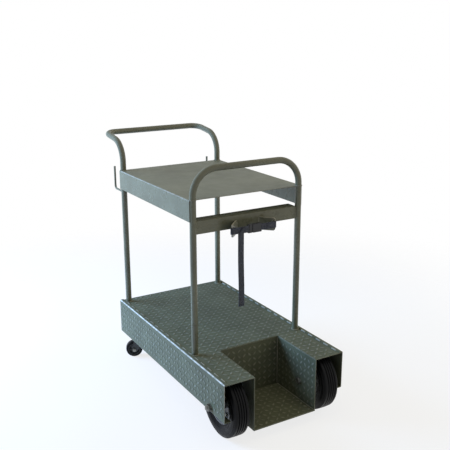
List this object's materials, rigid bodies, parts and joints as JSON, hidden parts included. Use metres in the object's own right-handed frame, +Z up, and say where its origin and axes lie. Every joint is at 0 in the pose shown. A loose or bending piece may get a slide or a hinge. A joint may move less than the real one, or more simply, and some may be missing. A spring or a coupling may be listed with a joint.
{
  "type": "welding cart",
  "caption": "Welding cart with a tread plate chassis, a bent tube frame carrying a shelf, a low strapped bay between fixed wheels, and swivel casters under the push handle.",
  "frame": {"origin": "on the floor, under the middle of the cart's overall box", "axes": "+Y from the low bay end to the push handle, +X to the right for someone facing along +Y, +Z up"},
  "size_m": [0.5716, 1.1466, 1.0266],
  "materials": {
    "painted_steel": "grey-olive semi-gloss enamel",
    "zinc": "bright zinc plate",
    "caster_steel": "dark enamel on pressed steel",
    "rim": "dark grey enamel on pressed steel",
    "tyre": "black tyre rubber",
    "caster_rubber": "hard black rubber",
    "caster_core": "moulded dark grey",
    "webbing": "woven dark blue-black webbing",
    "buckle": "moulded black"
  },
  "bodies": {
    "chassis": {"deck_plate": "painted_steel", "left_skirt": "painted_steel", "right_skirt": "painted_steel", "left_bay_wall": "painted_steel", "right_bay_wall": "painted_steel", "bay_back_wall": "painted_steel", "platform": "painted_steel", "end_skirt": "painted_steel", "caster_channel": "painted_steel", "front_hoop": "painted_steel", "handle_frame": "painted_steel", "shelf": "painted_steel", "crossbar": "painted_steel", "left_rest_wing": "painted_steel", "right_rest_wing": "painted_steel", "left_cable_hook": "painted_steel", "right_cable_hook": "painted_steel", "left_strap": "webbing", "right_strap": "webbing", "strap_tail": "webbing", "buckle_socket": "buckle", "buckle_plug": "buckle", "left_wheel_axle_bolt": "zinc", "left_wheel_axle_nut": "zinc", "left_wheel_spacer_outer": "zinc", "left_wheel_spacer_inner": "zinc", "right_wheel_axle_bolt": "zinc", "right_wheel_axle_nut": "zinc", "right_wheel_spacer_outer": "zinc", "right_wheel_spacer_inner": "zinc", "left_caster_plate": "caster_steel", "left_caster_race": "caster_steel", "left_caster_kingpin": "zinc", "right_caster_plate": "caster_steel", "right_caster_race": "caster_steel", "right_caster_kingpin": "zinc"},
    "left_wheel": {"left_wheel_tyre": "tyre", "left_wheel_rim_outer": "rim", "left_wheel_rim_inner": "rim", "left_wheel_hub": "zinc", "left_wheel_bearing_outer": "zinc", "left_wheel_bearing_inner": "zinc"},
    "right_wheel": {"right_wheel_tyre": "tyre", "right_wheel_rim_outer": "rim", "right_wheel_rim_inner": "rim", "right_wheel_hub": "zinc", "right_wheel_bearing_outer": "zinc", "right_wheel_bearing_inner": "zinc"},
    "left_swivel": {"left_caster_fork": "caster_steel", "left_caster_axle_bolt": "zinc", "left_caster_axle_nut": "zinc"},
    "right_swivel": {"right_caster_fork": "caster_steel", "right_caster_axle_bolt": "zinc", "right_caster_axle_nut": "zinc"},
    "left_caster_wheel": {"left_caster_tread": "caster_rubber", "left_caster_core": "caster_core"},
    "right_caster_wheel": {"right_caster_tread": "caster_rubber", "right_caster_core": "caster_core"}
  },
  "joints": [
    {"name": "left_wheel_spin", "type": "hinge", "parent": "chassis", "child": "left_wheel", "pos_m": [-0.202, -0.44635, 0.127], "axis": [1, 0, 0], "continuous": true},
    {"name": "right_wheel_spin", "type": "hinge", "parent": "chassis", "child": "right_wheel", "pos_m": [0.202, -0.44635, 0.127], "axis": [1, 0, 0], "continuous": true},
    {"name": "left_caster_swivel", "type": "hinge", "parent": "chassis", "child": "left_swivel", "pos_m": [-0.205, 0.32265, 0.1], "axis": [0, 0, 1], "continuous": true},
    {"name": "right_caster_swivel", "type": "hinge", "parent": "chassis", "child": "right_swivel", "pos_m": [0.205, 0.32265, 0.1], "axis": [0, 0, 1], "continuous": true},
    {"name": "left_caster_spin", "type": "hinge", "parent": "left_swivel", "child": "left_caster_wheel", "pos_m": [-0.23261, 0.33437, 0.0381], "axis": [-0.3907, -0.9205, 0], "continuous": true},
    {"name": "right_caster_spin", "type": "hinge", "parent": "right_swivel", "child": "right_caster_wheel", "pos_m": [0.17738, 0.33437, 0.0381], "axis": [-0.3907, -0.9205, 0], "continuous": true}
  ]
}
